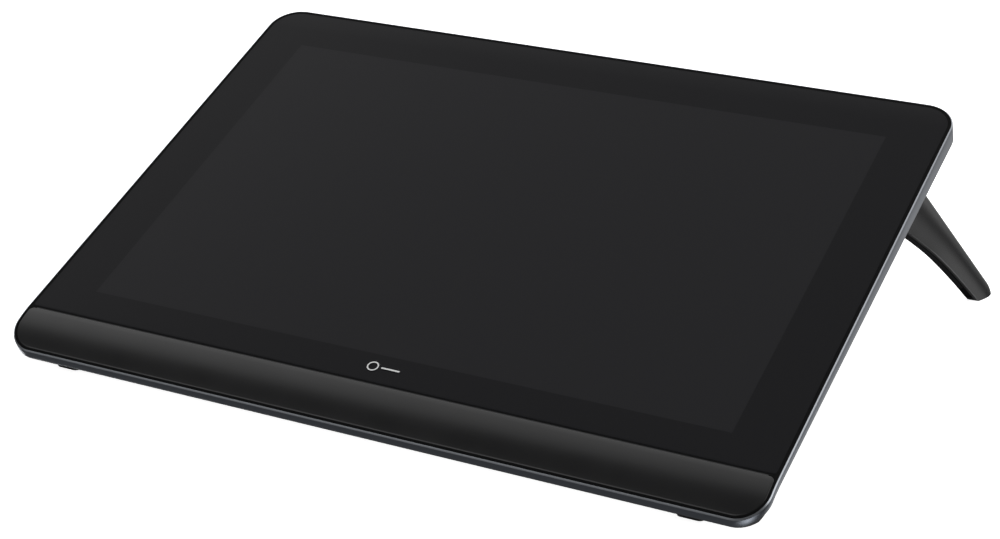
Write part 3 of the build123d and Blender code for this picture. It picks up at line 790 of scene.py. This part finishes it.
@dataclass
class DisplayDeck:
    """Cover glass, palm rest, the gasket round them and what lies under the glass."""

    plane: TabletPlane
    edge_in: float = 2.5 * MM
    palm_in: float = 2.0 * MM
    palm_front_in: float = 1.9 * MM
    palm_back: float = 0.5 * MM
    glass_thick: float = 1.1 * MM
    glass_drop: float = 0.12 * MM
    glass_edge: float = 0.25 * MM
    glass_front_corner: float = 1.5 * MM
    palm_thick: float = 1.6 * MM
    palm_edge: float = 0.7 * MM
    lip_drop: float = 0.3 * MM
    lip_gap: float = 0.1 * MM
    lip_chamfer: float = 0.1 * MM
    palm_rear_corner: float = 3.0 * MM
    corner_steps: int = 16
    side_steps: int = 24

    def glass_outline(self, inset: float) -> Outline:
        """Draw the cover glass's outline.

        Args:
            inset: How far inside its edge.

        Returns:
            The outline.
        """
        plane = self.plane
        edge = self.edge_in + inset
        return rounded_outline(
            plane.half_width - edge, plane.glass_front_y + inset, plane.rear_y - edge,
            self.glass_front_corner - inset, plane.rear_corner - edge, corner_steps=self.corner_steps)

    def palm_outline(self, inset: float) -> Outline:
        """Draw the palm rest's outline.

        Args:
            inset: How far inside its edge.

        Returns:
            The outline.
        """
        plane = self.plane
        edge = self.palm_in + inset
        front = plane.front_y + self.palm_front_in
        rear = plane.seam_y - self.palm_back
        return rounded_outline(
            plane.half_width - edge, front + inset, rear - inset,
            plane.front_corner - edge, self.palm_rear_corner - inset,
            rear - self.palm_rear_corner, self.corner_steps, self.side_steps)

    def seam_lip(self) -> Object:
        """Build the palm rest's lip, which shows in the seam in front of the glass.

        Returns:
            The lip.
        """
        plane = self.plane
        reach = plane.half_width - self.edge_in - self.palm_rear_corner
        front = plane.seam_y - self.palm_back - self.palm_edge
        rear = plane.glass_front_y - self.lip_gap
        low, high, chamfer = -self.palm_thick, -self.lip_drop, self.lip_chamfer
        section = [(front, low), (rear, low), (rear, high - chamfer), (rear - chamfer, high),
                   (front, high)]
        return bar_along_x("seam_lip", section, (-reach, reach))

    def make(self, matrix: Matrix) -> None:
        """Build and place the glass and the palm rest, and dress the layers below.

        Args:
            matrix: Plane to frame.
        """
        corner = self.corner_steps + 1
        glass = capped_plate("cover_glass_etched", self.glass_outline, (corner, corner),
                             lambda y: -self.glass_drop, self.glass_thick, self.glass_edge)
        place_piece(glass, ETCHED_GLASS, "tablet", matrix, ["cover_glass"])
        palm = capped_plate("palm_rest_moulded", self.palm_outline, (self.side_steps + corner, corner),
                            self.plane.top, self.palm_thick, self.palm_edge)
        place_piece(palm, PALM_COAT, "tablet", matrix, ["palm_rest"])
        # The seam lip's lighter grey is painted light against the shade in the seam.
        place_piece(self.seam_lip(), SEAM_ABS_PAINTED_LIGHT, "tablet", matrix)
        layers = {
            "edge_gasket": GASKET, "border_print": INK, "glass_tape": GASKET, "front_mark": PALE_INK,
            "lcd_panel": LCD_GLASS, "light_guide": ACRYLIC, "light_strip": SOLDER_MASK,
            "backlight_tray": STEEL, "pen_sensor_board": SOLDER_MASK, "shield_plate": STEEL,
            "main_board": SOLDER_MASK, "board_chips": CHIP_RESIN, "display_cable": FLAT_CABLE,
            "sensor_cable": FLAT_CABLE,
        }
        for node, finish in layers.items():
            dress(node, finish)


@dataclass
class RearShell:
    """Rear cover with its screws, posts and rubber pads."""

    finishes: dict[str, Finish] = field(default_factory=lambda: {
        "rear_cover": TEXTURED_ABS, "standoffs": BRASS, "cover_screws": BLACK_OXIDE,
        "front_pads": RUBBER, "rear_pad": RUBBER,
    })

    def make(self) -> None:
        """Dress the rear cover and what is fixed to it."""
        for node, finish in self.finishes.items():
            dress(node, finish)


def smooth_through(points: Sequence[Pair], at: float) -> float:
    """Read a smooth curve through points.

    Args:
        points: Places and values, in order of place.
        at: Place to read; past the ends the end slopes carry on.

    Returns:
        The value there.
    """
    last = len(points) - 1
    chords = [(a[1] - b[1]) / (a[0] - b[0]) for a, b in zip(points[2:], points)]
    (x0, y0), (x1, y1) = points[-2:]
    slopes = [0.0, *chords, (y1 - y0) / (x1 - x0)]
    if at <= points[0][0]:
        return points[0][1]
    if at >= points[last][0]:
        return points[last][1] + slopes[last] * (at - points[last][0])
    i = next(k for k in range(last) if at <= points[k + 1][0])
    (x0, y0), (x1, y1) = points[i], points[i + 1]
    wide = x1 - x0
    t = (at - x0) / wide
    rise = y0 * (1 + 2 * t) * (1 - t) ** 2 + y1 * t * t * (3 - 2 * t)
    return rise + wide * (slopes[i] * t * (1 - t) ** 2 - slopes[i + 1] * t * t * (1 - t))


@dataclass
class FoldingLeg:
    """One fold-out leg: painted skin, nylon inner half with its side strip, rubber foot and hinge.

    A place in the leg's section is its distance from the front edge and its height above
    the outer face; the section is drawn folded, then swung out to stand on the table.
    """

    side: Side
    hinge: Pair = (155.0 * MM, -18.0 * MM)
    half_thick: float = 3.0 * MM
    rear_y: float = 137.5 * MM
    front_mm: tuple[Pair, ...] = (
        (24.0, 100.0), (42.0, 102.4), (57.0, 108.0), (74.0, 114.0), (90.0, 117.4), (118.0, 121.0))
    root: float = 7.0 * MM
    end: float = 122.0 * MM
    tip_start: float = 112.0 * MM
    tip_round: float = 8.0 * MM
    side_wall: float = 1.7 * MM
    lip: float = 5.5 * MM
    crown: float = 0.075
    crisp_edge: Outline = field(default_factory=lambda: [
        (0.0, 0.3 * MM), (0.1 * MM, 0.07 * MM), (0.35 * MM, 0.0)])
    rear_round: Pair = (5.0 * MM, 4.4 * MM)
    inner_chamfer: float = 0.5 * MM
    strip_in: float = 0.3 * MM
    strip_deep: float = 0.5 * MM
    strip_chamfer: float = 0.15 * MM
    strip_end: float = 1.2 * MM
    strip: Pair = (2.5 * MM, 5.2 * MM)
    strip_run: Pair = (12.0 * MM, 101.0 * MM)
    skin_gap: float = 0.5 * MM
    foot_in: float = 0.35 * MM
    foot_chamfer: float = 0.6 * MM
    foot_run: float = 40.0 * MM
    foot_height: float = 1.6 * MM
    stations: int = 48
    tip_stations: int = 16
    strip_end_stations: int = 8
    face_steps: int = 10
    round_steps: int = 8

    def swing(self) -> float:
        """Return the angle from folded to standing, from the joint's travel."""
        name = self.side.name.lower() + "_leg_fold"
        return math.radians(LEG_TRAVEL[name])

    def front_y(self, along: float) -> float:
        """Find the front edge.

        Args:
            along: Distance from the hinge.

        Returns:
            The edge's Y.
        """
        return smooth_through(self.front_mm, along / MM) * MM

    def width(self, along: float) -> float:
        """Find the leg's width, which the tip's rounded rear corner narrows.

        Args:
            along: Distance from the hinge.

        Returns:
            The width.
        """
        past = min(max(along - self.tip_start, 0.0) / self.tip_round, 1.0)
        return self.rear_y - self.tip_round * (1 - math.sqrt(1 - past * past)) - self.front_y(along)

    def outer(self, wide: float, shrink: float = 0.0) -> Outline:
        """Draw the outer face from the crisp front edge round to the rear edge.

        Args:
            wide: The leg's width.
            shrink: How far inside the leg's surface.

        Returns:
            The open outline.
        """
        turn, rise = self.rear_round
        thick = 2 * self.half_thick
        face = [(v + shrink, h + shrink) for v, h in self.crisp_edge]
        start = self.crisp_edge[-1][0]
        for i in range(1, self.face_steps + 1):
            share = i / self.face_steps
            v = start + (wide - turn - start) * share
            crown = self.crown * wide * math.sin(math.pi * v / wide)
            face.append((v + shrink * (1 - share), shrink - crown))
        low = face[-1][1]
        for i in range(1, self.round_steps + 1):
            a = math.pi / 2 * i / self.round_steps
            across = (turn - shrink) * (1 - math.sin(a))
            face.append((wide - shrink - across, low + (rise - low) * (1 - math.cos(a))))
        rear = wide - shrink
        return face + [(rear, thick - self.inner_chamfer), (rear - self.inner_chamfer, thick)]

    def skin_section(self, along: float) -> Outline:
        """Draw the skin's section: outer face, rear edge and the thin wall behind the face.

        Args:
            along: Distance from the hinge.

        Returns:
            The section.
        """
        wide = self.width(along)
        inside = wide - self.lip
        closing = [(inside, 2 * self.half_thick), (inside, self.side_wall), (0.0, self.side_wall)]
        return self.outer(wide) + closing

    def foot_section(self, along: float) -> Outline:
        """Draw the foot's section: the whole leg, set in a little.

        Args:
            along: Distance from the hinge.

        Returns:
            The section.
        """
        inset, chamfer, thick = self.foot_in, self.foot_chamfer, 2 * self.half_thick
        return self.outer(self.width(along), inset) + [(inset + chamfer, thick), (inset, thick - chamfer)]

    def strip_section(self, along: float) -> Outline:
        """Draw the side strip's section, which narrows to a round end at the tip.

        Args:
            along: Distance from the hinge.

        Returns:
            The section.
        """
        low, high = self.strip
        reach = (high - low) / 2
        left = min(max((self.strip_run[1] - along) / reach, 0.0), 1.0)
        half = max(reach * math.sqrt(1 - (1 - left) ** 2), LEAST_RADIUS)
        middle = (low + high) / 2
        top, bottom = middle + half, middle - half
        face, bite = self.strip_in, self.strip_chamfer * left
        back, edge = face + self.strip_deep, face + self.strip_chamfer
        return [(back, top), (edge, top), (face, top - bite),
                (face, bottom + bite), (edge, bottom), (back, bottom)]

    def standing_place(self, along: float, across: float, height: float) -> Point:
        """Return a section place's point on the standing leg.

        Args:
            along: Distance from the hinge.
            across: Distance from the front edge.
            height: Height above the outer face.

        Returns:
            The point in the tablet's plane.
        """
        angle = self.swing()
        x = -along
        z = height - self.half_thick
        swung_x = x * math.cos(angle) - z * math.sin(angle)
        swung_z = x * math.sin(angle) + z * math.cos(angle)
        hinge_x, hinge_z = self.hinge
        return (self.side.value * (hinge_x + swung_x), self.front_y(along) + across, hinge_z + swung_z)

    def places(self, run: Pair) -> list[float]:
        """Choose where a loft has its sections: closer together at a rounded tip or end.

        Args:
            run: Where the loft starts and ends.

        Returns:
            Distances from the hinge, in order.
        """
        start, stop = run
        places = [start + (stop - start) * i / self.stations for i in range(self.stations + 1)]
        if start < self.tip_start < stop:
            count = self.tip_stations
            places += [self.tip_start + self.tip_round * i / count for i in range(count + 1)]
        if run == self.strip_run:
            count = self.strip_end_stations
            turns = [math.pi / 2 * i / count for i in range(count + 1)]
            places = places[:-1] + [stop - self.strip_end * (1 - math.sin(a)) for a in turns]
        return sorted(places)

    def loft(self, name: str, section: Callable[[float], Outline], run: Pair,
             smooth_degrees: float = 33.0) -> Object:
        """Loft a section along the leg.

        Args:
            name: Name of the piece.
            section: Gives the section at a distance from the hinge.
            run: Where the loft starts and ends.
            smooth_degrees: Edges sharper than this stay crisp.

        Returns:
            The piece, closed at both ends.
        """
        rings = [[self.standing_place(at, v, h) for v, h in section(at)] for at in self.places(run)]
        vertices, faces = bridge(rings, closed=False)
        count = len(rings[0])
        faces += [tuple(range(count)), tuple(range(len(vertices) - count, len(vertices)))]
        return new_object(name, vertices, faces, smooth_degrees)

    def trim(self, piece: Object, matrix: Matrix, height: float, above: bool) -> None:
        """Cut a piece level with the table.

        Args:
            piece: The piece, in the tablet's plane.
            matrix: Plane to frame.
            height: Height of the cut above the table.
            above: Whether the part above the cut stays.
        """
        back = matrix.inverted()
        level = back @ Vector((0, 0, height + CAD_BOX[0][2]))
        up = back.to_3x3() @ Vector((0, 0, 1))
        work = bmesh.new()
        work.from_mesh(piece.data)
        cut = bmesh.ops.bisect_plane(
            work, geom=work.verts[:] + work.edges[:] + work.faces[:], dist=CUT_REACH,
            plane_co=level, plane_no=up, clear_inner=above, clear_outer=not above)
        rim = [e for e in cut["geom_cut"] if isinstance(e, bmesh.types.BMEdge)]
        for edge in rim:
            edge.smooth = False
        bmesh.ops.holes_fill(work, edges=rim)
        bmesh.ops.recalc_face_normals(work, faces=work.faces)
        work.to_mesh(piece.data)
        work.free()

    def make(self, matrix: Matrix) -> None:
        """Build, place and dress the leg and its hinge.

        Args:
            matrix: Plane to frame.
        """
        prefix = self.side.name.lower() + "_"
        body = prefix + "leg"
        skin = self.loft(prefix + "leg_skin", self.skin_section, (self.root, self.end))
        self.trim(skin, matrix, self.skin_gap, above=True)
        place_piece(skin, LEG_PAINT, body, matrix, [prefix + "leg_shell"])
        foot = self.loft(prefix + "leg_sole", self.foot_section, (self.end - self.foot_run, self.end))
        self.trim(foot, matrix, 0.0, above=True)
        self.trim(foot, matrix, self.foot_height, above=False)
        place_piece(foot, RUBBER, body, matrix, [prefix + "leg_foot"])
        strip = self.loft(prefix + "leg_strip", self.strip_section, self.strip_run)
        place_piece(strip, LEG_STRIP, body, matrix)
        # The core's near-black finish is partly painted shade on the leg's side face.
        dress(prefix + "leg_core", LEG_NYLON_PAINTED_SHADE)
        for part in ("hinge_bracket", "hinge_pin", "hinge_washers"):
            dress(prefix + part, STEEL)


@dataclass(frozen=True)
class SoftPanel:
    """Broad soft light in the studio's surround, which every glossy surface can mirror."""

    toward: Point
    full_degrees: float
    fade_degrees: float
    strength: float

    def add(self, tree: NodeTree, direction: NodeSocket) -> NodeSocket:
        """Add the panel's light to the surround.

        Args:
            tree: Node tree of the world.
            direction: Direction that is looked in.

        Returns:
            The panel's light in that direction.
        """
        toward = {"operation": "DOT_PRODUCT", 1: Vector(self.toward).normalized()}
        near = add_node(tree, "ShaderNodeVectorMath", toward, {0: direction})
        edges = {
            "interpolation_type": "SMOOTHSTEP", "From Min": math.cos(math.radians(self.fade_degrees)),
            "From Max": math.cos(math.radians(self.full_degrees)), "To Max": self.strength}
        return add_node(tree, "ShaderNodeMapRange", edges, {"Value": near.outputs["Value"]}).outputs[0]


@dataclass
class Studio:
    """White light table, a surround with soft panels, one overhead light and the camera."""

    camera_offset: Point = (475.7 * MM, -921.3 * MM, 407.5 * MM)
    camera_turn: Point = (67.11, 0.0, 27.02)
    lens: float = 79.4
    sensor: float = 36.0
    reach: float = 50.0
    floor_half: float = 6.0
    floor_glow: float = 0.88
    room_light: float = 0.12
    lamp_place: Point = (0.2, 0.3, 2.4)
    lamp_aim: Point = (0.0, 0.0, 0.05)
    lamp_size: float = 2.6
    lamp_watts: float = 21.0
    panels: tuple[SoftPanel, ...] = (
        SoftPanel((-0.27, 0.79, 0.55), 42.0, 62.0, 0.84),
        SoftPanel((0.89, 0.23, 0.42), 15.0, 31.0, 1.4),
        SoftPanel((0.40, 0.78, -0.48), 10.0, 27.0, 0.92),
        SoftPanel((-0.43, -0.82, 0.39), 10.0, 28.0, 1.15),
        SoftPanel((-0.2, -0.35, -0.9), 30.0, 60.0, 0.08),
        SoftPanel((0.46, -0.36, -0.81), 6.0, 20.0, 5.0),
        SoftPanel((-0.71, 0.45, -0.5), 6.0, 24.0, 5.0),
    )

    def floor(self) -> None:
        """Lay the white table top, lit from below as a product table is."""
        low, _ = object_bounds()
        half = self.floor_half
        corners = [(-half, -half, 0), (half, -half, 0), (half, half, 0), (-half, half, 0)]
        floor = new_object("studio_floor", corners, [(0, 1, 2, 3)])
        floor.location.z = low[2]
        paint = OPAL_SHEET.material()
        shader = paint.node_tree.nodes["Principled BSDF"]
        shader.inputs["Emission Color"].default_value = (1.0, 1.0, 1.0, 1.0)
        shader.inputs["Emission Strength"].default_value = self.floor_glow
        floor.data.materials.append(paint)
        floor.visible_glossy = False
        floor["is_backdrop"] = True

    def lamp(self) -> None:
        """Hang one soft square light overhead that glossy surfaces don't mirror."""
        lamp = bpy.data.lights.new("overhead", "AREA")
        lamp.shape = "SQUARE"
        lamp.size = self.lamp_size
        lamp.energy = self.lamp_watts
        holder = bpy.data.objects.new("overhead", lamp)
        holder.location = self.lamp_place
        toward = Vector(self.lamp_aim) - Vector(self.lamp_place)
        holder.rotation_euler = toward.to_track_quat("-Z", "Y").to_euler()
        holder.visible_glossy = False
        bpy.context.scene.collection.objects.link(holder)

    def world(self) -> None:
        """Surround the table with low even light and the soft panels."""
        world = bpy.data.worlds.new("studio")
        world.use_nodes = True
        tree = world.node_tree
        back = tree.nodes["Background"]
        direction = add_node(tree, "ShaderNodeTexCoord").outputs["Generated"]
        total = None
        for panel in self.panels:
            glow = panel.add(tree, direction)
            settings = {"operation": "ADD", 1: self.room_light}
            links = {0: glow} if total is None else {0: total, 1: glow}
            total = add_node(tree, "ShaderNodeMath", settings, links).outputs[0]
        seen = add_node(tree, "ShaderNodeLightPath").outputs["Is Camera Ray"]
        strength = add_node(tree, "ShaderNodeMix", {3: 1.0}, {0: seen, 2: total})
        back.inputs["Color"].default_value = (1.0, 1.0, 1.0, 1.0)
        tree.links.new(strength.outputs[0], back.inputs["Strength"])
        bpy.context.scene.world = world

    def camera(self, matrix: Matrix) -> None:
        """Set up the camera.

        Args:
            matrix: Plane to frame.
        """
        data = bpy.data.cameras.new("camera")
        data.lens = self.lens
        data.sensor_width = self.sensor
        data.clip_end = self.reach
        holder = bpy.data.objects.new("camera", data)
        holder.location = matrix.translation + Vector(self.camera_offset)
        holder.rotation_euler = [math.radians(a) for a in self.camera_turn]
        bpy.context.scene.collection.objects.link(holder)
        bpy.context.scene.camera = holder

    def make(self, matrix: Matrix) -> None:
        """Build the studio.

        Args:
            matrix: Plane to frame.
        """
        bpy.context.scene.view_settings.view_transform = "Standard"
        self.camera(matrix)
        self.floor()
        self.world()
        self.lamp()


def main() -> None:
    """Build every sub-assembly in order."""
    logging.basicConfig(level=logging.INFO, format="%(name)s: %(message)s")
    plane = TabletPlane()
    matrix = plane.placement()
    Studio().make(matrix)
    MetalFrame(plane).make(matrix)
    DisplayDeck(plane).make(matrix)
    RearShell().make()
    for side in Side:
        FoldingLeg(side).make(matrix)


if __name__ == "__main__":
    main()
